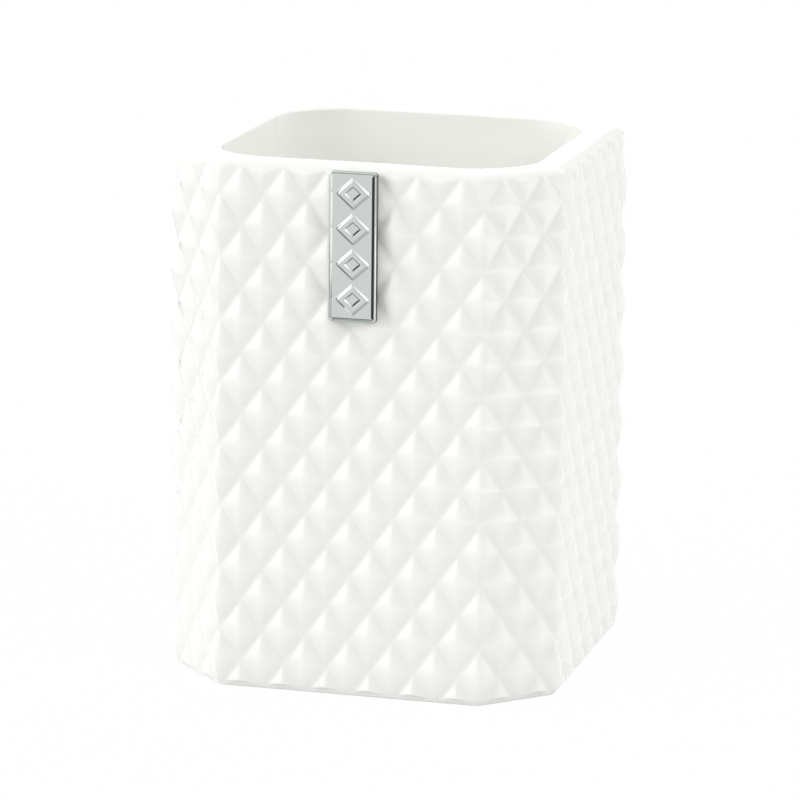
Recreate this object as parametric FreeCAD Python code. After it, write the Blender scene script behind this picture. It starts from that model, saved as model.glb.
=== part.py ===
import FreeCAD, Part
import math
import os

Vector = FreeCAD.Vector

# A square ceramic bathroom tumbler with cut corners. Its outside is covered in
# shallow pyramids on diamond-shaped feet, and a small chromed badge is stuck to
# the front, close under the rim. Millimetres. The origin is the middle of the
# foot, the front looks along -Y and the mouth opens upwards.

# Ceramic body, overall
tumbler_height = 100.0
width_in_grooves = 74.0
flat_diamond_count = 6
corner_diamond_count = 2

# Pyramid relief
diamond_height = 11.8
relief_height = 1.1
first_tip_height = 4.75

# Rim, rounded over so that the topmost tips are cut down
least_plain_rim = 0.5
rim_edge_inset = 0.45
rim_tip_share = 0.75
rim_crease_tip_share = 0.2

# Foot
foot_band_height = 1.9
foot_bevel_height = 0.9
foot_bevel_inset = 0.7
foot_ring_width = 5.0
foot_recess_depth = 1.2
foot_recess_corner_radius = 8.0

# Cavity
wall_thickness = 7.2
floor_thickness = 5.0
cavity_corner_radius = 12.0
cavity_floor_radius = 5.0
rim_inner_radius = 1.5

# Badge, a chromed casting
badge_width = 9.0
badge_length = 28.0
badge_thickness = 1.2
badge_corner_radius = 0.8
badge_side_offset = 1.0
badge_below_rim = 0.5
badge_border_width = 0.7
badge_field_depth = 0.35
badge_edge_radius = 0.15

# Relief on the badge, a column of lozenges with sunk middles
lozenge_count = 4
lozenge_height = 0.28
lozenge_bevel = 0.3
lozenge_end_margin = 0.7
lozenge_side_margin = 0.6
lozenge_gap = 0.5
lozenge_middle_share = 0.5
lozenge_middle_depth = 0.18

# Foam pad behind the badge, pressed on to the pyramid tips
pad_margin = 0.6
pad_proud_of_tips = 0.2
pad_sunk_round_tips = 0.4
pad_corner_radius = 0.5

cut_overrun = 1.0
largest_round_share = 0.98
same_place = 1e-6
upright_share = 0.5

# What follows from the sizes above
side_count = 8
turn = 2 * math.pi / side_count
half_turn = turn / 2
diagonal = 1 / math.cos(half_turn * 2)
widths_across = flat_diamond_count + corner_diamond_count * diagonal
diamond_width = width_in_grooves / widths_across
column_pitch = diamond_width / 2
half_row = diamond_height / 2
half_width = width_in_grooves / 2
half_flat = flat_diamond_count * diamond_width / 2
badge_back = half_width + relief_height + pad_proud_of_tips
badge_field = badge_back + badge_thickness - badge_field_depth
badge_top = tumbler_height - badge_below_rim
badge_middle_height = badge_top - badge_length / 2
lowest_level = math.floor((foot_band_height - first_tip_height) / half_row) + 1
highest_level = math.floor((tumbler_height - least_plain_rim - first_tip_height) / half_row)


# One column of the relief: where it stands on the groove outline, the way out of
# the wall there, longer at a crease so that both walls move out alike, and how
# much of a tip is left where the rim is rounded over
def relief_columns():
    columns = []
    place = Vector(half_flat, -half_width, 0)
    for side in range(side_count):
        heading = turn * (side + 1)
        along = Vector(math.cos(heading), math.sin(heading), 0)
        out = Vector(math.sin(heading), -math.cos(heading), 0)
        diamonds = flat_diamond_count if side % 2 else corner_diamond_count
        crease_heading = heading - half_turn
        crease_out = Vector(math.sin(crease_heading), -math.cos(crease_heading), 0)
        columns.append((place, crease_out / math.cos(half_turn), rim_crease_tip_share))
        for step in range(1, 2 * diamonds):
            columns.append((place + along * (column_pitch * step), out, rim_tip_share))
        place = place + along * (diamond_width * diamonds)
    return columns


columns = relief_columns()


def ring(height, offset):
    return [place + out * offset + Vector(0, 0, height) for place, out, share in columns]


# Tips and groove crossings take turns along a row and up a column
def relief_ring(level):
    height = first_tip_height + half_row * level
    points = []
    for number, (place, out, rim_share) in enumerate(columns):
        proud = relief_height if (number + level) % 2 == 0 else 0
        if level == highest_level:
            proud *= rim_share
        points.append(place + out * proud + Vector(0, 0, height))
    return points


def at_height(low, high, height):
    return low + (high - low) * ((height - low.z) / (high.z - low.z))


def flat_face(points):
    return Part.Face(Part.makePolygon(points + points[:1]))


def flat_bands(low_ring, high_ring):
    faces = []
    start = 0
    for side in range(side_count):
        diamonds = flat_diamond_count if side % 2 else corner_diamond_count
        numbers = [(start + step) % len(columns) for step in range(2 * diamonds + 1)]
        start = numbers[-1]
        low = [low_ring[number] for number in numbers]
        high = [high_ring[number] for number in reversed(numbers)]
        faces.append(flat_face(low + high))
    return faces


def relief_faces():
    faces = []
    for level in range(lowest_level, highest_level):
        low = relief_ring(level)
        high = relief_ring(level + 1)
        for number in range(len(columns)):
            beside = (number + 1) % len(columns)
            a, b, c, d = low[number], low[beside], high[beside], high[number]
            if (number + level) % 2 == 0:
                faces += [flat_face([a, b, d]), flat_face([b, c, d])]
            else:
                faces += [flat_face([a, b, c]), flat_face([a, c, d])]
    return faces


# The lowest pyramids are cut off by the plain band round the foot
def foot_faces():
    faces = []
    high = relief_ring(lowest_level)
    low = relief_ring(lowest_level - 1)
    band = ring(foot_bevel_height, 0)
    for number in range(len(columns)):
        beside = (number + 1) % len(columns)
        here = at_height(low[number], high[number], foot_band_height)
        there = at_height(low[beside], high[beside], foot_band_height)
        if (number + lowest_level) % 2 == 0:
            groove = at_height(low[number], high[beside], foot_band_height)
            faces.append(flat_face([here, groove, high[beside], high[number]]))
            faces.append(flat_face([groove, there, high[beside]]))
        else:
            groove = at_height(low[beside], high[number], foot_band_height)
            faces.append(flat_face([here, groove, high[number]]))
            faces.append(flat_face([groove, there, high[beside], high[number]]))
        faces.append(flat_face([band[number], groove, here]))
        faces.append(flat_face([band[number], band[beside], groove]))
        faces.append(flat_face([band[beside], there, groove]))
    return faces


def rim_edge_faces():
    faces = []
    low = relief_ring(highest_level)
    high = ring(tumbler_height, -rim_edge_inset)
    for number in range(len(columns)):
        beside = (number + 1) % len(columns)
        faces.append(flat_face([low[number], low[beside], high[beside]]))
        faces.append(flat_face([low[number], high[beside], high[number]]))
    return faces


def cut_corner_prism(half_across, low, high, corner_radius):
    half_side = half_flat - (half_width - half_across) * math.tan(half_turn)
    points = []
    for quarter in range(4):
        heading = quarter * math.pi / 2
        for x, y in ((-half_side, -half_across), (half_side, -half_across)):
            points.append(Vector(
                x * math.cos(heading) - y * math.sin(heading),
                x * math.sin(heading) + y * math.cos(heading),
                low,
            ))
    prism = flat_face(points).extrude(Vector(0, 0, high - low))
    upright = [edge for edge in prism.Edges if abs(edge.tangentAt(edge.FirstParameter).z) > upright_share]
    corner_side = (half_across - half_side) * diagonal
    largest_radius = corner_side * largest_round_share / 2 / math.tan(half_turn)
    return prism.makeFillet(min(corner_radius, largest_radius), upright)


def edges_at_height(solid, height):
    return [edge for edge in solid.Edges
            if all(abs(vertex.Z - height) < same_place for vertex in edge.Vertexes)]


def make_body():
    foot_edge = ring(0, -foot_bevel_inset)
    faces = [flat_face(foot_edge[::-1])]
    faces += flat_bands(foot_edge, ring(foot_bevel_height, 0))
    faces += foot_faces()
    faces += relief_faces()
    faces += rim_edge_faces()
    faces.append(flat_face(ring(tumbler_height, -rim_edge_inset)))
    shell = Part.makeShell(faces)
    shell.sewShape()
    body = Part.makeSolid(shell)
    if body.Volume < 0:
        body.reverse()

    cavity = cut_corner_prism(
        half_width - wall_thickness, floor_thickness,
        tumbler_height + cut_overrun, cavity_corner_radius)
    cavity = cavity.makeFillet(cavity_floor_radius, edges_at_height(cavity, floor_thickness))
    body = body.cut(cavity)

    mouth = half_width - wall_thickness
    inner_edges = [
        edge for edge in edges_at_height(body, tumbler_height)
        if max(abs(edge.BoundBox.XMax), abs(edge.BoundBox.XMin)) < mouth + rim_inner_radius
        and max(abs(edge.BoundBox.YMax), abs(edge.BoundBox.YMin)) < mouth + rim_inner_radius
    ]
    body = body.makeFillet(rim_inner_radius, inner_edges)

    recess = cut_corner_prism(
        half_width - foot_bevel_inset - foot_ring_width, -cut_overrun,
        foot_recess_depth, foot_recess_corner_radius)
    return body.cut(recess)


# A slab with rounded corners, standing upright, from one depth in front of the
# middle of the body to a greater one
def upright_slab(width, length, corner_radius, back, front):
    slab = Part.makeBox(
        width, front - back, length,
        Vector(badge_side_offset - width / 2, -front, badge_middle_height - length / 2))
    across = [edge for edge in slab.Edges if abs(edge.tangentAt(edge.FirstParameter).y) > upright_share]
    return slab.makeFillet(corner_radius, across)


def lozenge_wire(width, length, height, depth):
    corners = [
        Vector(badge_side_offset - width / 2, -depth, height),
        Vector(badge_side_offset, -depth, height - length / 2),
        Vector(badge_side_offset + width / 2, -depth, height),
        Vector(badge_side_offset, -depth, height + length / 2),
    ]
    return Part.makePolygon(corners + corners[:1])


def lozenge(width, length, height):
    top = badge_field + lozenge_height
    raised = Part.makeLoft([
        lozenge_wire(width, length, height, badge_field),
        lozenge_wire(width - 2 * lozenge_bevel, length - 2 * lozenge_bevel, height, top),
    ], True, True)
    middle_width = width * lozenge_middle_share
    middle_length = length * lozenge_middle_share
    sunk = Part.makeLoft([
        lozenge_wire(
            middle_width - 2 * lozenge_middle_depth, middle_length - 2 * lozenge_middle_depth,
            height, top - lozenge_middle_depth),
        lozenge_wire(middle_width, middle_length, height, top),
    ], True, True)
    return raised.cut(sunk)


def make_badge():
    front = badge_back + badge_thickness
    plate = upright_slab(badge_width, badge_length, badge_corner_radius, badge_back, front)
    front_edges = [edge for edge in plate.Edges
                   if all(abs(vertex.Y + front) < same_place for vertex in edge.Vertexes)]
    plate = plate.makeFillet(badge_edge_radius, front_edges)
    field_width = badge_width - 2 * badge_border_width
    field_length = badge_length - 2 * badge_border_width
    field_radius = badge_corner_radius - badge_edge_radius
    field = upright_slab(field_width, field_length, field_radius, badge_field, front + cut_overrun)
    badge = plate.cut(field)
    column_length = field_length - 2 * lozenge_end_margin
    pitch = (column_length + lozenge_gap) / lozenge_count
    width = field_width - 2 * lozenge_side_margin
    length = pitch - lozenge_gap
    for number in range(lozenge_count):
        height = badge_middle_height + pitch * (number - (lozenge_count - 1) / 2)
        badge = badge.fuse(lozenge(width, length, height))
    return badge.removeSplitter()


def make_pad(body):
    pad = upright_slab(
        badge_width - 2 * pad_margin, badge_length - 2 * pad_margin, pad_corner_radius,
        badge_back - pad_proud_of_tips - pad_sunk_round_tips, badge_back)
    return pad.cut(body)


def save(name, shape):
    solids = shape.Solids
    box = shape.BoundBox
    print(name, len(solids), "solid,", len(shape.Faces), "faces, volume", round(shape.Volume, 2),
          "valid", shape.isValid(), "box",
          [round(value, 3) for value in (box.XMin, box.YMin, box.ZMin, box.XMax, box.YMax, box.ZMax)])
    shape.exportStep("parts/" + name + ".step")


os.makedirs("parts", exist_ok=True)
tumbler_body = make_body()
save("tumbler_body", tumbler_body)
save("badge", make_badge())
save("badge_adhesive", make_pad(tumbler_body))
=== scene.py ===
# A square bathroom tumbler in glazed ceramic: cut corners, a relief of shallow pyramids
# all round, and a small chromed badge stuck close under the rim.
import math
import bmesh
import bpy
from mathutils import Matrix, Vector


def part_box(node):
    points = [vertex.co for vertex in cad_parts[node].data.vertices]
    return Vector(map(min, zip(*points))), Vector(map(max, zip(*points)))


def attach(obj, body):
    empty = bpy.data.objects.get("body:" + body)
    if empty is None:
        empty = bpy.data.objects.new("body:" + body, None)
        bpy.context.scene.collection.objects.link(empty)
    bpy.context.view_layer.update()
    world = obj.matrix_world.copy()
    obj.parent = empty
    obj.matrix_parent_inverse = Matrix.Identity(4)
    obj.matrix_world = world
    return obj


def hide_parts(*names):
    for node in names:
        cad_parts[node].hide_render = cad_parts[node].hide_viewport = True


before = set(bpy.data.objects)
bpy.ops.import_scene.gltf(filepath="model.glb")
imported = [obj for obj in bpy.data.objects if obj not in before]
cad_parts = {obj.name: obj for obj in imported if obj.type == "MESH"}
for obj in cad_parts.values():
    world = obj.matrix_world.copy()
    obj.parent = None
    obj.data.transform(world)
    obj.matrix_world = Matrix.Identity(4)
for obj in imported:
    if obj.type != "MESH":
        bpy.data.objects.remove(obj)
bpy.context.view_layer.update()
millimetre = 0.001


# sRGB hex to the linear colour that Blender's sockets take
def linearColour(hexCode):
    channels = []
    for place in (1, 3, 5):
        value = int(hexCode[place:place + 2], 16) / 255
        channels.append(value / 12.92 if value <= 0.04045 else ((value + 0.055) / 1.055) ** 2.4)
    return (*channels, 1.0)


# One node with its settings. Inputs are given by place or by name, as a value, a socket
# or a node, whose first output is then taken.
def addNode(tree, kind, inputs=None, **settings):
    node = tree.nodes.new(kind)
    for name, value in settings.items():
        setattr(node, name, value)
    for place, value in (inputs or {}).items():
        if isinstance(value, bpy.types.Node):
            value = value.outputs[0]
        if isinstance(value, bpy.types.NodeSocket):
            tree.links.new(value, node.inputs[place])
        else:
            node.inputs[place].default_value = value
    return node


def newMaterial(name):
    material = bpy.data.materials.new(name)
    material.use_nodes = True
    material.node_tree.nodes.clear()
    return material, material.node_tree


def showPiece(name, mesh, material=None):
    piece = bpy.data.objects.new(name, mesh)
    bpy.context.scene.collection.objects.link(piece)
    if material:
        mesh.materials.append(material)
    return piece


# Materials

glazeLook = {
    "thinAndLit": "#FAFAF6",          # thin glaze over ridges and tips, with painted light there and inside the cup
    "pooledAndShaded": "#F4F5F1",        # in the grooves, where the glaze runs together, together with painted shade there
    "roughness": 0.09,
    "roughnessSpread": 0.15,    # share by which the roughness comes and goes
    "ior": 1.5,
    "waveSize": 5.0,            # mm, slow unevenness of the poured glaze
    "waveShade": 0.12,          # how far that moves the colour from pooled to thin
    "peelSize": 1.1,            # mm, orange peel
    "peelHeight": 0.004,        # mm
}


# Opaque white tin glaze over slip-cast earthenware: an even gloss, a touch greyer in the grooves where it
# pools and as painted shade, whiter as painted light on the tips, over the rim and inside, and a faint
# orange peel that breaks up the highlights.
def glazedEarthenware():
    material, tree = newMaterial("glazedEarthenware")
    look = glazeLook
    coordinates = addNode(tree, "ShaderNodeTexCoord").outputs["Object"]
    # this share paints the glaze greyer in the grooves and lighter on the tips and inside: glaze pooling,
    # with painted shade and painted light
    relief = addNode(tree, "ShaderNodeAttribute", attribute_name="reliefShare").outputs["Fac"]
    wave = addNode(tree, "ShaderNodeTexNoise", {
        "Vector": coordinates, "Scale": 1 / (look["waveSize"] * millimetre), "Detail": 2.0})
    thickness = addNode(tree, "ShaderNodeMapRange", {
        "Value": wave.outputs["Fac"], "To Min": -look["waveShade"], "To Max": look["waveShade"]})
    shade = addNode(tree, "ShaderNodeMath", {0: relief, 1: thickness}, operation="ADD", use_clamp=True)
    colour = addNode(tree, "ShaderNodeMix", {
        "Factor": shade, 6: linearColour(look["pooledAndShaded"]), 7: linearColour(look["thinAndLit"])},
        data_type="RGBA")
    peel = addNode(tree, "ShaderNodeTexNoise", {
        "Vector": coordinates, "Scale": 1 / (look["peelSize"] * millimetre), "Detail": 1.0})
    bump = addNode(tree, "ShaderNodeBump", {
        "Height": peel.outputs["Fac"], "Distance": look["peelHeight"] * millimetre})
    gloss = addNode(tree, "ShaderNodeMapRange", {
        "Value": wave.outputs["Fac"],
        "To Min": look["roughness"] * (1 - look["roughnessSpread"]),
        "To Max": look["roughness"] * (1 + look["roughnessSpread"])})
    shader = addNode(tree, "ShaderNodeBsdfPrincipled", {
        "Base Color": colour.outputs[2], "Roughness": gloss, "IOR": look["ior"], "Normal": bump})
    addNode(tree, "ShaderNodeOutputMaterial", {"Surface": shader})
    return material


clayLook = {
    "light": "#E9E3D8",
    "dark": "#D8D0C2",
    "roughness": 0.85,
    "grainSize": 0.5,           # mm, fine grog, drawn a little coarse so that it shows
    "grainHeight": 0.03,        # mm
}


# The foot ring is wiped clean of glaze before firing: matt, cream and finely grained
def bareFiredClay():
    material, tree = newMaterial("bareFiredClay")
    look = clayLook
    coordinates = addNode(tree, "ShaderNodeTexCoord").outputs["Object"]
    grain = addNode(tree, "ShaderNodeTexNoise", {
        "Vector": coordinates, "Scale": 1 / (look["grainSize"] * millimetre), "Detail": 4.0})
    colour = addNode(tree, "ShaderNodeMix", {
        "Factor": grain.outputs["Fac"], 6: linearColour(look["dark"]), 7: linearColour(look["light"])},
        data_type="RGBA")
    bump = addNode(tree, "ShaderNodeBump", {
        "Height": grain.outputs["Fac"], "Distance": look["grainHeight"] * millimetre})
    shader = addNode(tree, "ShaderNodeBsdfPrincipled", {
        "Base Color": colour.outputs[2], "Roughness": look["roughness"], "Normal": bump})
    addNode(tree, "ShaderNodeOutputMaterial", {"Surface": shader})
    return material


chromeLook = {
    "colour": "#CCD1CE",
    "roughness": 0.035,
    "smearSize": 6.0,           # mm, wiping marks
    "clean": 0.5,               # shares of the roughness between the smears and in them
    "smeared": 1.6,
    "rippleSize": 2.2,          # mm, slight waviness left from polishing the casting
    "rippleHeight": 0.004,      # mm
    "residue": "#0C0E0E",       # painted dark reflection and shade, in the corners of the relief and along the right edge
    "paintedShadeRoughness": 0.4,
}


# Bright chrome plate on a polished zinc casting: a nearly perfect mirror, faintly wavy, with painted dark
# reflections and shade in the corners of the relief and along its right edge
def chromePlate():
    material, tree = newMaterial("chromePlate")
    look = chromeLook
    coordinates = addNode(tree, "ShaderNodeTexCoord").outputs["Object"]
    smear = addNode(tree, "ShaderNodeTexNoise", {
        "Vector": coordinates, "Scale": 1 / (look["smearSize"] * millimetre), "Detail": 3.0})
    gloss = addNode(tree, "ShaderNodeMapRange", {
        "Value": smear.outputs["Fac"],
        "To Min": look["roughness"] * look["clean"], "To Max": look["roughness"] * look["smeared"]})
    ripple = addNode(tree, "ShaderNodeTexNoise", {
        "Vector": coordinates, "Scale": 1 / (look["rippleSize"] * millimetre), "Detail": 1.0})
    bump = addNode(tree, "ShaderNodeBump", {
        "Height": ripple.outputs["Fac"], "Distance": look["rippleHeight"] * millimetre})
    # painted shade: where this attribute is set the chrome turns dark, matt and not metal, as a painted
    # dark reflection and shadow
    residue = addNode(tree, "ShaderNodeAttribute", attribute_name="residue").outputs["Fac"]
    colour = addNode(tree, "ShaderNodeMix", {
        "Factor": residue, 6: linearColour(look["colour"]), 7: linearColour(look["residue"])},
        data_type="RGBA")
    metal = addNode(tree, "ShaderNodeMath", {0: 1.0, 1: residue}, operation="SUBTRACT")
    roughness = addNode(tree, "ShaderNodeMix", {
        "Factor": residue, "A": gloss, "B": look["paintedShadeRoughness"]}, data_type="FLOAT")
    shader = addNode(tree, "ShaderNodeBsdfPrincipled", {
        "Base Color": colour.outputs[2], "Metallic": metal, "Roughness": roughness, "Normal": bump})
    addNode(tree, "ShaderNodeOutputMaterial", {"Surface": shader})
    return material


foamLook = {
    "light": "#E6E6E1",
    "dark": "#CFCFC9",
    "roughness": 0.9,
    "cellSize": 0.35,           # mm, closed cells, drawn about twice their size so that they show
    "cellHeight": 0.05,         # mm
}


# Closed-cell polyethylene foam tape: matt, off-white, its cut edge full of small cells
def foamTape():
    material, tree = newMaterial("foamTape")
    look = foamLook
    coordinates = addNode(tree, "ShaderNodeTexCoord").outputs["Object"]
    cells = addNode(tree, "ShaderNodeTexVoronoi", {
        "Vector": coordinates, "Scale": 1 / (look["cellSize"] * millimetre)})
    colour = addNode(tree, "ShaderNodeMix", {
        "Factor": cells.outputs["Distance"],
        6: linearColour(look["dark"]), 7: linearColour(look["light"])}, data_type="RGBA")
    bump = addNode(tree, "ShaderNodeBump", {
        "Height": cells.outputs["Distance"], "Distance": look["cellHeight"] * millimetre})
    shader = addNode(tree, "ShaderNodeBsdfPrincipled", {
        "Base Color": colour.outputs[2], "Roughness": look["roughness"], "Normal": bump})
    addNode(tree, "ShaderNodeOutputMaterial", {"Surface": shader})
    return material


# Tumbler body. Lengths in mm; height and outer width come from the frame.

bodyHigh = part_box("tumbler_body")[1]
body = {
    "height": bodyHigh.z / millimetre,
    "reliefHeight": 1.1,
    "flatDiamonds": 6,
    "cornerDiamonds": 2,
    "diamondHeight": 11.8,
    "firstTip": 5.15,
    "grooveSoftness": 0.06,     # shares of the relief, how far the glaze rounds it
    "ridgeSoftness": 0.38,
    "tipRise": 0.15,            # share of half a diamond by which the tips sit above its middle
    "tipShare": 0.95,
    "tipSoftness": 0.35,
    "bulge": 0.6,               # how much steeper than flat facets the pyramids are at their foot
    "capSoftness": 0.25,
    "creaseTipShare": 0.2,      # the topmost tips on the creases are all but gone
    "creaseRadius": 2.0,
    "cellSegments": 8,
    "ridgeStep": 0.075,         # share of a cell, the first mesh line beside a ridge
    "closestRow": 0.25,         # rows of the relief keep this far from the foot band and the rim
    "rimOuterReach": 4.2,       # the rim rolls over outside and inside in two flat arcs
    "rimOuterDrop": 3.0,
    "rimOuterSteps": 9,
    "rimInnerReach": 2.0,
    "rimInnerDrop": 0.8,
    "rimInnerSteps": 8,
    "rimTopShares": (0.35, 0.7),    # rows on the flat top between the two arcs
    "rimCornerRadius": 6.0,
    "rimSag": 0.3,              # the right side of the rim slumped a little in the kiln
    "sagStart": 85.0,
    "wallThickness": 6.8,
    "wallShares": (0.25, 0.5, 0.75),    # rows down the inside
    "cavityCornerRadius": 12.0,
    "cavityFloorRadius": 5.0,
    "cavityFloorSteps": 7,
    "floorThickness": 5.0,
    "footEdgeHeight": 0.9,
    "footEdgeInset": 0.7,
    "footEdgeSteps": 5,
    "footEdgeBare": 0.35,       # share of the edge's width that is wiped clean of glaze
    "footBandHeight": 1.9,
    "footBandSteps": 5,
    "footBandCap": 1.3,         # share of the relief that may show at the top of the band
    "footRingWidth": 5.0,
    "footRingCorner": 4.0,
    "recessDepth": 1.2,
    "recessCornerRadius": 8.0,
    "recessFillet": 0.5,
    "recessSteps": 3,
    "recessBare": 0.5,          # share of the lower fillet above which it is wiped clean
    "bareFrom": 0.9,            # bareness at which a face is clay and not glaze
    "weldDistance": 0.01,
}
body["halfWidth"] = bodyHigh.x / millimetre - body["reliefHeight"]
widthsAcross = body["flatDiamonds"] + body["cornerDiamonds"] * math.sqrt(2)
body["halfFlat"] = body["flatDiamonds"] * body["halfWidth"] / widthsAcross
body["halfRow"] = body["diamondHeight"] / 2
body["topLevel"] = round((body["height"] - body["firstTip"]) / body["halfRow"])

eighthTurn = math.pi / 4
sixteenthTurn = math.pi / 8
noCap = 10.0                    # mm, more than any relief
sideMargin = 0.01               # keeps a point on a crease on the side that it starts


# Points round a quarter arc, both ends included, as (share of the radius, share of the rise)
def quarterArc(steps):
    return [(math.cos(angle), math.sin(angle))
            for angle in (math.pi / 2 * step / steps for step in range(steps + 1))]


# Where the mesh lines of one relief cell lie: close to its edges, even between
def cellShares():
    steps = body["cellSegments"]
    first = body["ridgeStep"]
    gap = (1 - 2 * first) / (steps - 2)
    return [0.0] + [first + gap * step for step in range(steps - 1)]


# The section from the middle of the underside, out and up the wall, over the rim and
# down inside to the middle of the floor. Each point holds its distance from the axis,
# height, corner radius, spread, share of relief, greatest relief and bareness.
def sectionPoints():
    b = body
    points = []

    def add(half, height, corner, spread=1.0, relief=0.0, cap=noCap, bare=0.0):
        points.append({
            "half": half * millimetre, "height": height * millimetre,
            "corner": corner * millimetre, "spread": spread,
            "reliefHere": relief, "cap": cap * millimetre, "bare": bare})

    ringInner = b["halfWidth"] - b["footEdgeInset"] - b["footRingWidth"]
    fillet = b["recessFillet"]
    depth = b["recessDepth"]
    for spread in (0.0, 0.5, 1.0):
        add(ringInner - fillet, depth, b["recessCornerRadius"] - fillet, spread)
    for across, rise in quarterArc(b["recessSteps"])[1:]:
        add(ringInner - fillet + fillet * rise, depth - fillet + fillet * across, b["recessCornerRadius"])
    for across, rise in quarterArc(b["recessSteps"]):
        add(ringInner + fillet - fillet * across, fillet - fillet * rise, b["recessCornerRadius"],
            bare=float(rise > b["recessBare"]))
    ringOuter = b["halfWidth"] - b["footEdgeInset"]
    add(ringOuter - fillet, 0.0, b["footRingCorner"], bare=1.0)
    for across, rise in quarterArc(b["footEdgeSteps"]):
        add(ringOuter + b["footEdgeInset"] * rise, b["footEdgeHeight"] * (1 - across),
            b["creaseRadius"], bare=float(rise < b["footEdgeBare"]), relief=1.0, cap=0.0)

    bandRise = b["footBandHeight"] - b["footEdgeHeight"]
    for step in range(1, b["footBandSteps"] + 1):
        share = step / b["footBandSteps"]
        add(b["halfWidth"], b["footEdgeHeight"] + bandRise * share, b["creaseRadius"],
            relief=1.0, cap=b["footBandCap"] * b["reliefHeight"] * share)
    heights = []
    for level in range(-1, b["topLevel"]):
        heights += [b["firstTip"] + b["halfRow"] * (level + share) for share in cellShares()]
    roundStart = b["height"] - b["rimOuterDrop"]
    for height in heights:
        if b["footBandHeight"] + b["closestRow"] < height < roundStart - b["closestRow"]:
            add(b["halfWidth"], height, b["creaseRadius"], relief=1.0)
    for across, rise in quarterArc(b["rimOuterSteps"]):
        add(b["halfWidth"], roundStart + b["rimOuterDrop"] * rise,
            b["creaseRadius"] + (b["rimCornerRadius"] - b["creaseRadius"]) * (1 - across),
            relief=1.0, cap=b["reliefHeight"] - b["rimOuterReach"] * (1 - across))

    mouth = b["halfWidth"] - b["wallThickness"]
    lip = mouth + b["rimInnerReach"]
    topEdge = b["halfWidth"] + b["reliefHeight"] - b["rimOuterReach"]
    lipCorner = b["cavityCornerRadius"] + b["rimInnerReach"]
    for share in b["rimTopShares"]:
        add(topEdge + (lip - topEdge) * share, b["height"],
            b["rimCornerRadius"] + (lipCorner - b["rimCornerRadius"]) * share)
    for across, rise in quarterArc(b["rimInnerSteps"]):
        add(lip - b["rimInnerReach"] * rise, b["height"] - b["rimInnerDrop"] * (1 - across),
            lipCorner - b["rimInnerReach"] * rise)
    floorRound = b["cavityFloorRadius"]
    wallFoot = b["floorThickness"] + floorRound
    wallTop = b["height"] - b["rimInnerDrop"]
    for share in b["wallShares"]:
        add(mouth, wallTop + (wallFoot - wallTop) * share, b["cavityCornerRadius"])
    for across, rise in quarterArc(b["cavityFloorSteps"]):
        add(mouth - floorRound * (1 - across), wallFoot - floorRound * rise,
            b["cavityCornerRadius"] - floorRound * (1 - across))
    for spread in (0.5, 0.0):
        add(mouth - floorRound, b["floorThickness"], b["cavityCornerRadius"] - floorRound, spread)
    return points


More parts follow.
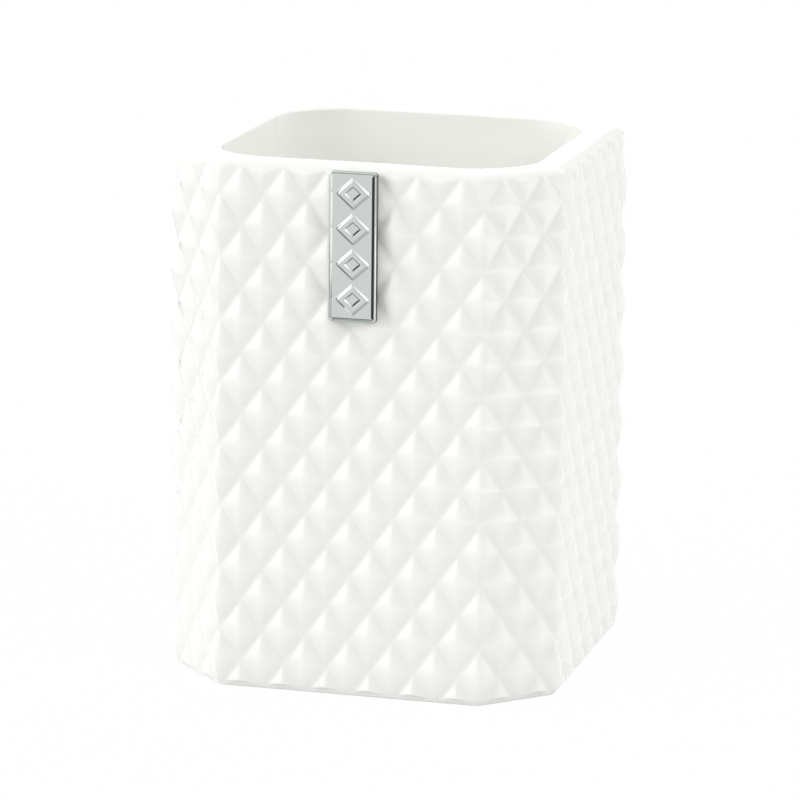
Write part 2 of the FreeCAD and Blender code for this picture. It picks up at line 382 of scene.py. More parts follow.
# Sums of the tumbler's tree: name, operation and up to three inputs, each a number or the
# name of an input or of an earlier sum
reliefSums = (
    # column and row of the point in the grid, and where it stands round the body
    ("columnExact", "DIVIDE", "index", "rows"),
    ("column", "FLOOR", "columnExact"),
    ("rowStart", "MULTIPLY", "column", "rows"),
    ("row", "SUBTRACT", "index", "rowStart"),
    ("cellExact", "DIVIDE", "column", "Cell Segments"),
    ("cell", "FLOOR", "cellExact"),
    ("cellStart", "MULTIPLY", "cell", "Cell Segments"),
    ("step", "SUBTRACT", "column", "cellStart"),
    ("innerStep", "SUBTRACT", "step", 1.0),
    ("innerSteps", "SUBTRACT", "Cell Segments", 2.0),
    ("twoEnds", "MULTIPLY", "Ridge Step", 2.0),
    ("middleShare", "SUBTRACT", 1.0, "twoEnds"),
    ("gap", "DIVIDE", "middleShare", "innerSteps"),
    ("insideExact", "MULTIPLY_ADD", "innerStep", "gap", "Ridge Step"),
    ("inside", "MAXIMUM", "insideExact", 0.0),
    ("around", "ADD", "cell", "inside"),
    # which side of the cut square it is on, and how far from that side's middle
    ("pairCells", "ADD", "Corner Diamonds", "Flat Diamonds"),
    ("pairLength", "MULTIPLY", "pairCells", 2.0),
    ("pairExact", "DIVIDE", "around", "pairLength"),
    ("pair", "FLOOR", "pairExact"),
    ("pairStart", "MULTIPLY", "pair", "pairLength"),
    ("inPair", "SUBTRACT", "around", "pairStart"),
    ("cornerEnd", "MULTIPLY_ADD", "Corner Diamonds", 2.0, -sideMargin),
    ("onFlat", "GREATER_THAN", "inPair", "cornerEnd"),
    ("side", "MULTIPLY_ADD", "pair", 2.0, "onFlat"),
    ("heading", "MULTIPLY_ADD", "side", eighthTurn, eighthTurn),
    ("middle", "MULTIPLY_ADD", "onFlat", "pairCells", "Corner Diamonds"),
    ("extraSpan", "SUBTRACT", "Flat Diamonds", "Corner Diamonds"),
    ("halfSpan", "MULTIPLY_ADD", "onFlat", "extraSpan", "Corner Diamonds"),
    ("fromMiddle", "SUBTRACT", "inPair", "middle"),
    ("across", "DIVIDE", "fromMiddle", "halfSpan"),
    ("acrossSize", "ABSOLUTE", "across"),
    ("acrossSign", "SIGN", "across"),
    ("toCrease", "SUBTRACT", 1.0, "acrossSize"),
    # the side's half length and its distance from the axis, at this row of the section
    ("inset", "SUBTRACT", "Half Width", "half"),
    ("flatLoss", "MULTIPLY", "inset", math.tan(sixteenthTurn)),
    ("flatHalf", "SUBTRACT", "Half Flat", "flatLoss"),
    ("cornerSum", "ADD", "half", "flatHalf"),
    ("cornerReach", "MULTIPLY", "cornerSum", math.sqrt(0.5)),
    ("cornerGap", "SUBTRACT", "half", "flatHalf"),
    ("cornerHalf", "MULTIPLY", "cornerGap", math.sqrt(0.5)),
    ("moreReach", "SUBTRACT", "half", "cornerReach"),
    ("reach", "MULTIPLY_ADD", "onFlat", "moreReach", "cornerReach"),
    ("moreHalf", "SUBTRACT", "flatHalf", "cornerHalf"),
    ("sideHalf", "MULTIPLY_ADD", "onFlat", "moreHalf", "cornerHalf"),
    # the rounding of the crease between two sides
    ("tangent", "MULTIPLY", "corner", math.tan(sixteenthTurn)),
    ("leftOver", "MULTIPLY", "toCrease", "sideHalf"),
    ("straightShare", "DIVIDE", "leftOver", "tangent"),
    ("bendExact", "SUBTRACT", 1.0, "straightShare"),
    ("bend", "MAXIMUM", "bendExact", 0.0),
    ("bendAngle", "MULTIPLY", "bend", sixteenthTurn),
    ("bendCosine", "COSINE", "bendAngle"),
    ("bendSine", "SINE", "bendAngle"),
    ("bendTangent", "TANGENT", "bendAngle"),
    ("alongExact", "MULTIPLY", "acrossSize", "sideHalf"),
    ("straightHalf", "SUBTRACT", "sideHalf", "tangent"),
    ("along", "MINIMUM", "alongExact", "straightHalf"),
    ("alongRound", "MULTIPLY_ADD", "corner", "bendSine", "along"),
    ("cosineLoss", "SUBTRACT", "bendCosine", 1.0),
    ("outRound", "MULTIPLY_ADD", "corner", "cosineLoss", "reach"),
    # the pyramids: two families of slanting grooves, one wall between each pair, its top
    # moved up from the middle
    ("aboveTip", "SUBTRACT", "height", "First Tip"),
    ("level", "DIVIDE", "aboveTip", "Half Row"),
    ("risingTwice", "ADD", "around", "level"),
    ("rising", "MULTIPLY", "risingTwice", 0.5),
    ("fallingTwice", "SUBTRACT", "around", "level"),
    ("falling", "MULTIPLY", "fallingTwice", 0.5),
    ("risingPlace", "WRAP", "rising", 0.5, -0.5),
    ("fallingPlace", "WRAP", "falling", 0.5, -0.5),
    ("upperPart", "SUBTRACT", 1.0, "Tip Rise"),
    ("lowerPart", "ADD", 1.0, "Tip Rise"),
    ("risingTop", "MULTIPLY_ADD", "risingPlace", -2.0, 1.0),
    ("risingFoot", "MULTIPLY_ADD", "risingPlace", 2.0, 1.0),
    ("fallingTop", "MULTIPLY_ADD", "fallingPlace", 2.0, 1.0),
    ("fallingFoot", "MULTIPLY_ADD", "fallingPlace", -2.0, 1.0),
    ("risingUpper", "DIVIDE", "risingTop", "upperPart"),
    ("risingLower", "DIVIDE", "risingFoot", "lowerPart"),
    ("fallingUpper", "DIVIDE", "fallingTop", "upperPart"),
    ("fallingLower", "DIVIDE", "fallingFoot", "lowerPart"),
    ("risingWall", "MINIMUM", "risingUpper", "risingLower"),
    ("fallingWall", "MINIMUM", "fallingUpper", "fallingLower"),
    ("softSquare", "MULTIPLY", "Groove Softness", "Groove Softness"),
    ("risingSquare", "MULTIPLY_ADD", "risingWall", "risingWall", "softSquare"),
    ("fallingSquare", "MULTIPLY_ADD", "fallingWall", "fallingWall", "softSquare"),
    ("risingRoot", "SQRT", "risingSquare"),
    ("fallingRoot", "SQRT", "fallingSquare"),
    ("risingSoft", "SUBTRACT", "risingRoot", "Groove Softness"),
    ("fallingSoft", "SUBTRACT", "fallingRoot", "Groove Softness"),
    ("pyramid", "SMOOTH_MIN", "risingSoft", "fallingSoft", "Ridge Softness"),
    ("worn", "SMOOTH_MIN", "pyramid", "Tip Share", "Tip Softness"),
    ("toTip", "SUBTRACT", 1.0, "worn"),
    ("swelling", "MULTIPLY_ADD", "toTip", "Bulge", 1.0),
    ("swollen", "MULTIPLY", "worn", "swelling"),
    # the topmost tips on the creases are all but gone
    ("creaseCells", "MULTIPLY", "toCrease", "halfSpan"),
    ("belowTop", "SUBTRACT", "level", "Top Level"),
    ("belowTopSize", "ABSOLUTE", "belowTop"),
    ("fromCreaseTip", "ADD", "creaseCells", "belowTopSize"),
    ("onCreaseTip", "LESS_THAN", "fromCreaseTip", 1.0),
    ("creaseLoss", "SUBTRACT", "Crease Tip Share", 1.0),
    ("creaseShare", "MULTIPLY_ADD", "onCreaseTip", "creaseLoss", 1.0),
    ("share", "MULTIPLY", "swollen", "creaseShare"),
    ("fullRelief", "MULTIPLY", "share", "Relief Height"),
    ("relief", "MULTIPLY", "fullRelief", "reliefHere"),
    ("offset", "SMOOTH_MIN", "relief", "cap", "Cap Softness"),
    # place in space
    ("out", "ADD", "outRound", "offset"),
    ("alongSigned", "MULTIPLY_ADD", "offset", "bendTangent", "alongRound"),
    ("alongSide", "MULTIPLY", "alongSigned", "acrossSign"),
    ("outSpread", "MULTIPLY", "out", "spread"),
    ("alongSpread", "MULTIPLY", "alongSide", "spread"),
    ("headingSine", "SINE", "heading"),
    ("headingCosine", "COSINE", "heading"),
    ("outX", "MULTIPLY", "outSpread", "headingSine"),
    ("x", "MULTIPLY_ADD", "alongSpread", "headingCosine", "outX"),
    ("outY", "MULTIPLY", "outSpread", "headingCosine"),
    ("alongY", "MULTIPLY", "alongSpread", "headingSine"),
    ("y", "SUBTRACT", "alongY", "outY"),
    ("rightShare", "DIVIDE", "x", "Half Width"),
    ("rightward", "MAXIMUM", "rightShare", 0.0),
    ("aboveSag", "SUBTRACT", "height", "Sag Start"),
    ("sagRise", "SUBTRACT", "Height", "Sag Start"),
    ("sagExact", "DIVIDE", "aboveSag", "sagRise"),
    ("sagHere", "MAXIMUM", "sagExact", 0.0),
    ("sagShare", "MULTIPLY", "sagHere", "rightward"),
    ("sag", "MULTIPLY", "sagShare", "Rim Sag"),
    ("z", "SUBTRACT", "height", "sag"),
    ("lean", "SUBTRACT", "risingWall", "fallingWall"),
    # how thin the glaze lies, with painted light and shade: lighter on the tips and, with no grooves to
    # pool in, over the rim and inside; greyer in the grooves
    ("tipShareHere", "DIVIDE", "offset", "Relief Height"),
    ("fromOutside", "SUBTRACT", "Half Width", "half"),
    ("plainShare", "DIVIDE", "fromOutside", "Wall Thickness"),
    ("reliefShare", "ADD", "tipShareHere", "plainShare"),
)


# An empty Geometry Nodes tree with its named inputs, and what a modifier calls them
def newTree(name, inputs, output):
    tree = bpy.data.node_groups.new(name, "GeometryNodeTree")
    sockets = {}
    for label, kind in inputs:
        socket = tree.interface.new_socket(label, in_out="INPUT", socket_type="NodeSocket" + kind)
        sockets[label] = socket.identifier
    tree.interface.new_socket(output, in_out="OUTPUT", socket_type="NodeSocketGeometry")
    return tree, sockets


# Runs a tree on a piece and leaves the result as its plain mesh
def applyTree(piece, tree, sockets, inputs):
    modifier = piece.modifiers.new(tree.name, "NODES")
    modifier.node_group = tree
    for label, value in inputs.items():
        modifier[sockets[label]] = value
    piece.update_tag()
    graph = bpy.context.evaluated_depsgraph_get()
    mesh = bpy.data.meshes.new_from_object(piece.evaluated_get(graph), depsgraph=graph)
    mesh.name = piece.name
    piece.modifiers.clear()
    piece.data = mesh
    return mesh


reliefInputs = (
    ("Section", "Geometry"), ("Cell Segments", "Int"), ("Ridge Step", "Float"),
    ("Flat Diamonds", "Int"), ("Corner Diamonds", "Int"), ("Half Width", "Float"),
    ("Half Flat", "Float"), ("First Tip", "Float"), ("Half Row", "Float"),
    ("Top Level", "Int"), ("Relief Height", "Float"), ("Groove Softness", "Float"),
    ("Ridge Softness", "Float"), ("Tip Rise", "Float"), ("Tip Share", "Float"),
    ("Tip Softness", "Float"), ("Bulge", "Float"), ("Cap Softness", "Float"),
    ("Crease Tip Share", "Float"), ("Height", "Float"), ("Sag Start", "Float"),
    ("Rim Sag", "Float"), ("Wall Thickness", "Float"), ("Bare From", "Float"),
    ("Weld Distance", "Float"), ("Glaze", "Material"), ("Bare Clay", "Material"),
)


# The tree bends a grid round the body: one column per mesh line, one row per point of
# the section, pushed out by the pyramids
def makeReliefTree(sectionNames):
    tree, sockets = newTree("pyramidRelief", reliefInputs, "Body")
    given = addNode(tree, "NodeGroupInput")
    section = given.outputs["Section"]
    values = {socket.name: socket for socket in given.outputs if socket.name}
    values["index"] = addNode(tree, "GeometryNodeInputIndex")
    values["rows"] = addNode(tree, "GeometryNodeAttributeDomainSize", {0: section}).outputs["Point Count"]
    for name, operation, *inputs in reliefSums:
        places = {place: values.get(value, value) for place, value in enumerate(inputs)}
        values[name] = addNode(tree, "ShaderNodeMath", places, operation=operation)
        for stored in sectionNames if name == "row" else ():
            field = addNode(tree, "GeometryNodeInputNamedAttribute", {"Name": stored}, data_type="FLOAT")
            values[stored] = addNode(
                tree, "GeometryNodeSampleIndex",
                {"Geometry": section, "Value": field, "Index": values["row"]}, data_type="FLOAT")

    cells = addNode(tree, "ShaderNodeMath", {0: values["pairLength"], 1: 4.0}, operation="MULTIPLY")
    columns = addNode(
        tree, "ShaderNodeMath", {0: cells, 1: values["Cell Segments"], 2: 1.0}, operation="MULTIPLY_ADD")
    shape = addNode(tree, "GeometryNodeMeshGrid", {"Vertices X": columns, "Vertices Y": values["rows"]})
    for name in ("lean", "reliefShare", "bare"):
        shape = addNode(
            tree, "GeometryNodeStoreNamedAttribute",
            {"Geometry": shape, "Name": name, "Value": values[name]}, data_type="FLOAT", domain="POINT")
    position = addNode(tree, "ShaderNodeCombineXYZ", {0: values["x"], 1: values["y"], 2: values["z"]})
    shape = addNode(tree, "GeometryNodeSetPosition", {"Geometry": shape, "Position": position})
    # each face is split along the groove that its wall belongs to
    lean = addNode(tree, "GeometryNodeInputNamedAttribute", {"Name": "lean"}, data_type="FLOAT")
    rises = addNode(
        tree, "FunctionNodeCompare", {"A": lean, "B": 0.0}, data_type="FLOAT", operation="LESS_THAN")
    shape = addNode(
        tree, "GeometryNodeTriangulate", {"Mesh": shape, "Selection": rises}, quad_method="FIXED_ALTERNATE")
    shape = addNode(tree, "GeometryNodeTriangulate", {"Mesh": shape}, quad_method="FIXED")
    shape = addNode(
        tree, "GeometryNodeMergeByDistance", {"Geometry": shape, "Distance": values["Weld Distance"]})
    shape = addNode(tree, "GeometryNodeSetShadeSmooth", {"Geometry": shape, "Shade Smooth": True})
    shape = addNode(tree, "GeometryNodeRealizeInstances", {"Geometry": shape})
    shape = addNode(tree, "GeometryNodeSetMaterial", {"Geometry": shape, "Material": values["Glaze"]})
    bare = addNode(tree, "GeometryNodeInputNamedAttribute", {"Name": "bare"}, data_type="FLOAT")
    unglazed = addNode(
        tree, "FunctionNodeCompare", {"A": bare, "B": values["Bare From"]}, data_type="FLOAT",
        operation="GREATER_THAN")
    shape = addNode(
        tree, "GeometryNodeSetMaterial",
        {"Geometry": shape, "Selection": unglazed, "Material": values["Bare Clay"]})
    shape = addNode(tree, "GeometryNodeRemoveAttribute", {"Geometry": shape, "Name": "lean"})
    addNode(tree, "NodeGroupOutput", {"Body": shape})
    return tree, sockets


def makeTumbler():
    b = body
    points = sectionPoints()
    mesh = bpy.data.meshes.new("section")
    mesh.from_pydata([(p["half"], 0, p["height"]) for p in points],
                     [(n, n + 1) for n in range(len(points) - 1)], [])
    for name in points[0]:
        stored = mesh.attributes.new(name, "FLOAT", "POINT")
        for number, point in enumerate(points):
            stored.data[number].value = point[name]
    piece = showPiece("tumbler", mesh)
    tree, sockets = makeReliefTree(points[0])
    applyTree(piece, tree, sockets, {
        "Cell Segments": b["cellSegments"], "Ridge Step": b["ridgeStep"],
        "Flat Diamonds": b["flatDiamonds"], "Corner Diamonds": b["cornerDiamonds"],
        "Half Width": b["halfWidth"] * millimetre, "Half Flat": b["halfFlat"] * millimetre,
        "First Tip": b["firstTip"] * millimetre, "Half Row": b["halfRow"] * millimetre,
        "Top Level": b["topLevel"], "Relief Height": b["reliefHeight"] * millimetre,
        "Groove Softness": b["grooveSoftness"], "Ridge Softness": b["ridgeSoftness"],
        "Tip Rise": b["tipRise"], "Tip Share": b["tipShare"],
        "Tip Softness": b["tipSoftness"], "Bulge": b["bulge"],
        "Cap Softness": b["capSoftness"] * millimetre, "Crease Tip Share": b["creaseTipShare"],
        "Height": b["height"] * millimetre, "Sag Start": b["sagStart"] * millimetre,
        "Rim Sag": b["rimSag"] * millimetre, "Wall Thickness": b["wallThickness"] * millimetre,
        "Bare From": b["bareFrom"], "Weld Distance": b["weldDistance"] * millimetre,
        "Glaze": glazedEarthenware(), "Bare Clay": bareFiredClay(),
    })
    return piece


tumbler = makeTumbler()
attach(tumbler, "root")
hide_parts("tumbler_body")
print("tumbler:", len(tumbler.data.polygons), "triangles,", len(tumbler.data.vertices), "points")


# Badge and pad. Lengths in mm; their places come from the frame.

badge = {
    "cornerRadius": 0.8,
    "leastCorner": 0.02,        # radius left to a corner however far it is inset
    "borderRound": 0.3,
    "borderRoundSteps": 6,
    "borderTop": 0.06,          # flat top of the border
    "borderSlope": 0.22,        # width of the slope from the border down to the field
    "shadeStripWidth": 0.48,       # strip of the field along the border that gets painted shade
    "shadeStripFade": 0.1,
    "fieldDepth": 0.42,
    "backChamfer": 0.1,
    "lozengeCount": 4,
    "lozengeHeight": 0.38,
    "shoulder": 0.55,           # width of the slope from a lozenge's top to the field
    "endMargin": 0.5,
    "sideMargin": 0.45,
    "lozengeGap": 0.3,
    "middleShare": 0.5,
    "middleDepth": 0.30,
    "middleShoulder": 0.34,
    "tipRadius": 0.5,
    "leastTip": 0.04,           # radius left to a tip, as for a corner
    "sunk": 0.05,               # how far a lozenge reaches into the field
    "easedShare": 0.2,          # share of a slope that is rounded off at each end
    "easedSteps": 4,
    "sideShade": 0.95,          # how dark the painted shade makes the badge's outer edge
    "shadeBelow": 0.8,          # share of a slope's height below which painted shade lies
    "borderShadeWay": (1.0, 0.0),    # the side of the border that gets painted shade
    "middleShadeWay": (0.8, -0.6),     # the same for a lozenge's middle
}


outlineArcSteps = 6


# Outline of a rounded rectangle, or of a rounded lozenge, inset by some mm: corner
# centres moved in, and an arc round each, always with as many points
def roundedOutline(corners, radius):
    count = len(corners)
    points = []
    for number in range(count):
        here = Vector(corners[number])
        before = (here - Vector(corners[number - 1])).normalized()
        after = (Vector(corners[(number + 1) % count]) - here).normalized()
        turn = before.angle_signed(after)
        start = math.atan2(before.y, before.x) - math.pi / 2
        for step in range(outlineArcSteps + 1):
            angle = start - turn * step / outlineArcSteps
            points.append((here.x + radius * math.cos(angle), here.y + radius * math.sin(angle)))
    return points


def rectangleRing(halfWidth, halfLength, radius, inset):
    left = max(radius - inset, badge["leastCorner"])
    x, z = halfWidth - inset - left, halfLength - inset - left
    return roundedOutline([(-x, -z), (x, -z), (x, z), (-x, z)], left)


def lozengeRing(halfWidth, halfLength, radius, inset):
    reach = halfWidth * halfLength / math.hypot(halfWidth, halfLength)
    left = max(radius - inset, badge["leastTip"])
    share = (reach - inset - left) / reach
    x, z = halfWidth * share, halfLength * share
    return roundedOutline([(0, -z), (x, 0), (0, z), (-x, 0)], left)


# A closed solid through rings, with the first and the last capped. Each ring is a list of
# (x, z), a depth along -Y, and how much painted shade lies there on the side that faces the
# given way; it thins out fast as the edge turns from that way.
def ringSolid(mesh, rings, shadeWay=(0.0, 0.0)):
    bm = bmesh.new()
    residue = bm.verts.layers.float.new("residue")
    loops = []
    for outline, depth, shadeAmount in rings:
        loop = []
        for number, (x, z) in enumerate(outline):
            before, after = outline[number - 1], outline[(number + 1) % len(outline)]
            outwards = Vector((after[1] - before[1], before[0] - after[0])).normalized()
            point = bm.verts.new((x * millimetre, -depth * millimetre, z * millimetre))
            point[residue] = shadeAmount * max(outwards.dot(Vector(shadeWay)), 0.0) ** 2
            loop.append(point)
        loops.append(loop)
    count = len(loops[0])
    for number in range(len(loops) - 1):
        for step in range(count):
            beside = (step + 1) % count
            face = bm.faces.new((loops[number][step], loops[number][beside],
                                 loops[number + 1][beside], loops[number + 1][step]))
            face.smooth = True
    bm.faces.new(loops[0][::-1])
    bm.faces.new(loops[-1])
    bmesh.ops.recalc_face_normals(bm, faces=bm.faces)
    bm.to_mesh(mesh)
    bm.free()
    return mesh


# Points down a straight slope that is rounded off at both ends, as (share of the width,
# share of the height that is left)
def easedSlope():
    eased = badge["easedShare"]
    steepness = 1 / (1 - eased)
    shares = [step / badge["easedSteps"] for step in range(badge["easedSteps"] + 1)]
    drops = [(share * eased, steepness * share * share * eased / 2) for share in shares]
    return ([(along, 1 - drop) for along, drop in drops]
            + [(1 - along, drop) for along, drop in reversed(drops)])


# The tree sets a column of lozenges, centred on the origin, on the plate
def makeLozengeTree():
    tree, sockets = newTree("lozengeColumn", (
        ("Plate", "Geometry"), ("Lozenge", "Object"), ("Count", "Int"), ("Pitch", "Float"),
        ("Chrome", "Material")), "Badge")
    given = addNode(tree, "NodeGroupInput")
    count, pitch = given.outputs["Count"], given.outputs["Pitch"]
    gaps = addNode(tree, "ShaderNodeMath", {0: count, 1: 1.0}, operation="SUBTRACT")
    lowest = addNode(tree, "ShaderNodeMath", {0: gaps, 1: pitch}, operation="MULTIPLY")
    lowest = addNode(tree, "ShaderNodeMath", {0: lowest, 1: -0.5}, operation="MULTIPLY")
    start = addNode(tree, "ShaderNodeCombineXYZ", {2: lowest})
    stepUp = addNode(tree, "ShaderNodeCombineXYZ", {2: pitch})
    places = addNode(tree, "GeometryNodeMeshLine",
                     {"Count": count, "Start Location": start, "Offset": stepUp})
    motif = addNode(tree, "GeometryNodeObjectInfo", {"Object": given.outputs["Lozenge"]})
    copies = addNode(tree, "GeometryNodeInstanceOnPoints",
                     {"Points": places, "Instance": motif.outputs["Geometry"]})
    joined = addNode(tree, "GeometryNodeJoinGeometry")
    tree.links.new(given.outputs["Plate"], joined.inputs[0])
    tree.links.new(copies.outputs[0], joined.inputs[0])
    real = addNode(tree, "GeometryNodeRealizeInstances", {"Geometry": joined})
    done = addNode(tree, "GeometryNodeSetMaterial", {"Geometry": real, "Material": given.outputs["Chrome"]})
    addNode(tree, "NodeGroupOutput", {"Badge": done})
    return tree, sockets


badgeLow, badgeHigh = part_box("badge")
padLow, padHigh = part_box("badge_adhesive")


def makeBadge():
    s = badge
    middle = (badgeLow + badgeHigh) / 2
    halfWidth = (badgeHigh.x - badgeLow.x) / 2 / millimetre
    halfLength = (badgeHigh.z - badgeLow.z) / 2 / millimetre
    back = -badgeHigh.y / millimetre
    front = -badgeLow.y / millimetre
    field = front - s["fieldDepth"]

    def ring(inset, depth, shadeAmount=0.0):
        return rectangleRing(halfWidth, halfLength, s["cornerRadius"], inset), depth, shadeAmount

    # painted shade darkens the outer edge, the lower part of the border's slope and a strip of the field
    # beside it, on one side
    r, sideShade = s["borderRound"], s["sideShade"]
    rings = [ring(s["backChamfer"], back, sideShade), ring(0, back + s["backChamfer"], sideShade)]
    for across, rise in quarterArc(s["borderRoundSteps"]):
        rings.append(ring(r * (1 - across), front - r + r * rise, sideShade * (1 - rise)))
    slopeStart = r + s["borderTop"]
    for along, left in easedSlope():
        rings.append(ring(slopeStart + s["borderSlope"] * along, field + s["fieldDepth"] * left,
                          float(left < s["shadeBelow"])))
    shadeStripEdge = slopeStart + s["borderSlope"] + s["shadeStripWidth"]
    rings.append(ring(shadeStripEdge - s["shadeStripFade"], field, 1.0))
    rings.append(ring(shadeStripEdge, field))
    plate = ringSolid(bpy.data.meshes.new("badgePlate"), rings, s["borderShadeWay"])

    borderWidth = slopeStart + s["borderSlope"]
    fieldWidth = halfWidth * 2 - borderWidth * 2
    fieldLength = halfLength * 2 - borderWidth * 2
    column = fieldLength - 2 * s["endMargin"]
    pitch = (column + s["lozengeGap"]) / s["lozengeCount"]
    lozengeWidth = (fieldWidth - 2 * s["sideMargin"]) / 2
    lozengeLength = (pitch - s["lozengeGap"]) / 2
    top = field + s["lozengeHeight"]
    share = s["middleShare"]

    def lozenge(inset, depth, scale=1.0, shadeAmount=0.0):
        outline = lozengeRing(lozengeWidth * scale, lozengeLength * scale, s["tipRadius"] * scale, inset)
        return outline, depth, shadeAmount

    # the lower part of each lozenge's middle slope and its bottom get painted shade on one side
    rings = [lozenge(0, field - s["sunk"])]
    for along, left in reversed(easedSlope()):
        rings.append(lozenge(s["shoulder"] * (1 - along), field + s["lozengeHeight"] * left))
    for along, left in easedSlope():
        rings.append(lozenge(s["middleShoulder"] * along, top - s["middleDepth"] * (1 - left), share,
                             float(left < s["shadeBelow"])))
    bottom = top - s["middleDepth"]
    rings.append(lozenge(s["middleShoulder"] + s["shadeStripFade"], bottom, share, 1.0))
    rings.append(lozenge(s["middleShoulder"] + 2 * s["shadeStripFade"], bottom, share))
    lozengeMesh = ringSolid(bpy.data.meshes.new("badgeLozenge"), rings, s["middleShadeWay"])

    motifPiece = showPiece("badgeLozenge", lozengeMesh)
    piece = showPiece("badgePlate", plate)
    tree, sockets = makeLozengeTree()
    mesh = applyTree(piece, tree, sockets, {
        "Lozenge": motifPiece, "Count": s["lozengeCount"], "Pitch": pitch * millimetre,
        "Chrome": chromePlate()})
    bpy.data.objects.remove(motifPiece)
    mesh.transform(Matrix.Translation((middle.x, 0, middle.z)))
    return piece


chromeBadge = makeBadge()
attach(chromeBadge, "root")
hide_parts("badge")
print("badge:", len(chromeBadge.data.polygons), "faces")


pad = {
    "cornerRadius": 0.5,
    "edgeRound": 0.15,          # how far the edge bulges
    "edgeSteps": 8,
}


# The pad is pressed on, so its edge bulges; its back passes through the pyramid tips
def makePad():
    s = pad
    middle = (padLow + padHigh) / 2
    halfWidth = (padHigh.x - padLow.x) / 2 / millimetre
    halfLength = (padHigh.z - padLow.z) / 2 / millimetre
    back, front = -padHigh.y / millimetre, -padLow.y / millimetre
    rings = []
    for step in range(s["edgeSteps"] + 1):
        angle = math.pi * step / s["edgeSteps"]
        inset = s["edgeRound"] * (1 - math.sin(angle))
        depth = back + (front - back) * (1 - math.cos(angle)) / 2
        rings.append((rectangleRing(halfWidth, halfLength, s["cornerRadius"], inset), depth, 0.0))
    mesh = ringSolid(bpy.data.meshes.new("foamPad"), rings)
    mesh.transform(Matrix.Translation((middle.x, 0, middle.z)))
    return showPiece("foamPad", mesh, foamTape())


foamPad = makePad()
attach(foamPad, "root")
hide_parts("badge_adhesive")
print("pad:", len(foamPad.data.polygons), "faces")


# Floor, world, cards and camera

studio = {
    "floorHalfWidth": 1.5,      # metres
    "floorAlbedo": "#EAEAEA",
    "floorGlow": 0.97,          # share of plain white that the camera sees, so shadows stay faint
    "ringStrength": 1.525,
    # share of the ring's strength at each sine of the elevation
    "ringShares": ((0.0, 0.56), (0.2, 0.56), (0.45, 1.0), (0.75, 0.7), (1.0, 0.4)),
    # soft round lights: azimuth from the front, elevation and reach in degrees, strength
    "spots": {
        "frontFlag": (42.0, -40.0, 81.0, -7.0),
        "frontSoftbox": (-48.0, 14.0, 27.0, 2.05),
        "leftSoftbox": (-93.0, 12.0, 25.0, 2.6),
        "rightSoftbox": (64.0, 27.0, 28.0, 2.3),
        "sideSoftbox": (108.0, 6.0, 30.0, 0.4),
        "backFlag": (-130.0, -10.0, 80.0, -0.8),
    },
    # cards that only reflections show: two opposite corners in metres, and strength
    "cards": {
        "greyPaper": ((-0.17, -0.22, 0.001), (0.055, -0.035, 0.001), 0.7),
        "blackPaper": ((-0.45, -0.30, 0.001), (-0.20, 0.30, 0.001), 0.3),
        "whitePaper": ((0.17, -0.45, 0.001), (0.45, 0.10, 0.001), 2.2),
        # stands behind the tumbler and keeps the far edges of the rim white
        "backPaper": ((-0.8, 0.4, 0.0), (0.0, 0.4, 0.35), 1.1),
    },
}


# White to the camera and in reflections, with a trace of the lit paper so that the tumbler
# keeps a faint shadow; plain lit paper to every other ray
def makeFloor():
    material, tree = newMaterial("palePaperSweep")
    path = addNode(tree, "ShaderNodeLightPath")
    seen = addNode(tree, "ShaderNodeMath", {
        0: path.outputs["Is Camera Ray"], 1: path.outputs["Is Glossy Ray"]}, operation="MAXIMUM")
    seen = addNode(tree, "ShaderNodeMath", {
        0: seen, 1: path.outputs["Is Transmission Ray"]}, operation="MAXIMUM")
    plain = addNode(tree, "ShaderNodeBsdfDiffuse", {"Color": linearColour(studio["floorAlbedo"])})
    glow = addNode(tree, "ShaderNodeEmission", {"Color": (1, 1, 1, 1), "Strength": 1.0})
    white = addNode(tree, "ShaderNodeMixShader", {0: studio["floorGlow"], 1: plain, 2: glow})
    shader = addNode(tree, "ShaderNodeMixShader", {0: seen, 1: plain, 2: white})
    addNode(tree, "ShaderNodeOutputMaterial", {"Surface": shader})
    mesh = bpy.data.meshes.new("floor")
    reach = studio["floorHalfWidth"]
    mesh.from_pydata([(-reach, -reach, 0), (reach, -reach, 0), (reach, reach, 0), (-reach, reach, 0)],
                     [], [(0, 1, 2, 3)])
    floor = showPiece("floor", mesh, material)


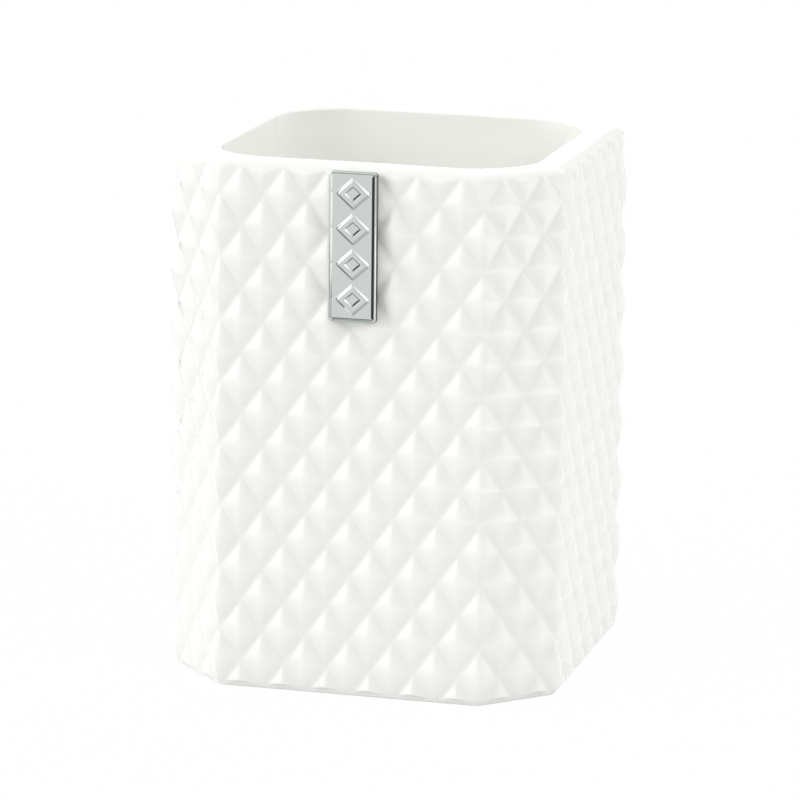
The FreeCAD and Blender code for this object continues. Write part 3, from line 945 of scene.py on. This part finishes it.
# A soft ring of light all round at about 27 degrees, and round spots that add to it or,
# where their strength is negative, take away
def makeWorld():
    world = bpy.data.worlds.new("whiteStudio")
    bpy.context.scene.world = world
    world.use_nodes = True
    tree = world.node_tree
    tree.nodes.clear()
    direction = addNode(tree, "ShaderNodeTexCoord").outputs["Generated"]
    rise = addNode(tree, "ShaderNodeSeparateXYZ", {0: direction}).outputs["Z"]
    ring = addNode(tree, "ShaderNodeValToRGB", {0: rise})
    stops = ring.color_ramp.elements
    while len(stops) < len(studio["ringShares"]):
        stops.new(0.5)
    for stop, (sine, share) in zip(stops, studio["ringShares"]):
        stop.position = sine
        stop.color = (share, share, share, 1)
    total = addNode(tree, "ShaderNodeMath", {
        0: ring.outputs["Color"], 1: studio["ringStrength"]}, operation="MULTIPLY")
    for azimuth, elevation, reach, strength in studio["spots"].values():
        turn, tilt = math.radians(azimuth), math.radians(elevation)
        axis = (math.sin(turn) * math.cos(tilt), -math.cos(turn) * math.cos(tilt), math.sin(tilt))
        cosine = addNode(tree, "ShaderNodeVectorMath", {0: direction, 1: axis}, operation="DOT_PRODUCT")
        away = addNode(tree, "ShaderNodeMath", {0: cosine.outputs["Value"]}, operation="ARCCOSINE")
        spot = addNode(tree, "ShaderNodeMapRange", {
            "Value": away, "From Min": 0.0, "From Max": math.radians(reach),
            "To Min": strength, "To Max": 0.0}, interpolation_type="SMOOTHSTEP")
        total = addNode(tree, "ShaderNodeMath", {0: total, 1: spot}, operation="ADD")
    total = addNode(tree, "ShaderNodeMath", {0: total, 1: 0.0}, operation="MAXIMUM")
    light = addNode(tree, "ShaderNodeBackground", {"Color": (1, 1, 1, 1), "Strength": total})
    addNode(tree, "ShaderNodeOutputWorld", {"Surface": light})


# Cards that show only in reflections: they draw the dark and the bright lines in the
# chrome. Each lies flat or stands facing the front.
def makeCards():
    for name, ((left, near, low), (right, far, high), strength) in studio["cards"].items():
        material, tree = newMaterial(name)
        glow = addNode(tree, "ShaderNodeEmission", {"Color": (1, 1, 1, 1), "Strength": strength})
        addNode(tree, "ShaderNodeOutputMaterial", {"Surface": glow})
        mesh = bpy.data.meshes.new(name)
        mesh.from_pydata([(left, near, low), (right, near, low), (right, far, high), (left, far, high)],
                         [], [(0, 1, 2, 3)])
        card = showPiece(name, mesh, material)
        card.visible_camera = False
        card.visible_diffuse = False
        card.visible_shadow = False
        card.visible_transmission = False


makeFloor()
makeWorld()
makeCards()

view = {
    "azimuth": 14.978,          # degrees, seen from the front and a little from the right
    "elevation": 12.624,
    "roll": 0.591,
    "lens": 207.9,              # mm, as is the sensor
    "sensor": 36.0,
    "clipStart": 0.01,          # metres, as are the next three
    "distance": 0.8957,
    "sideways": 0.000185,
    "upwards": 0.04743,
}


def makeCamera():
    azimuth, elevation, roll = (math.radians(view[name]) for name in ("azimuth", "elevation", "roll"))
    backwards = Vector((math.sin(azimuth) * math.cos(elevation),
                        -math.cos(azimuth) * math.cos(elevation), math.sin(elevation)))
    level = Vector((math.cos(azimuth), math.sin(azimuth), 0))
    upright = backwards.cross(level)
    right = level * math.cos(roll) + upright * math.sin(roll)
    up = upright * math.cos(roll) - level * math.sin(roll)
    lens = bpy.data.cameras.new("camera")
    lens.lens = view["lens"]
    lens.sensor_width = view["sensor"]
    lens.clip_start = view["clipStart"]
    camera = bpy.data.objects.new("camera", lens)
    bpy.context.scene.collection.objects.link(camera)
    place = backwards * view["distance"] + right * view["sideways"] + up * view["upwards"]
    camera.matrix_world = Matrix((
        (right.x, up.x, backwards.x, place.x),
        (right.y, up.y, backwards.y, place.y),
        (right.z, up.z, backwards.z, place.z),
        (0, 0, 0, 1)))
    bpy.context.scene.camera = camera


makeCamera()
bpy.context.scene.view_settings.view_transform = "Standard"
print("studio ready")
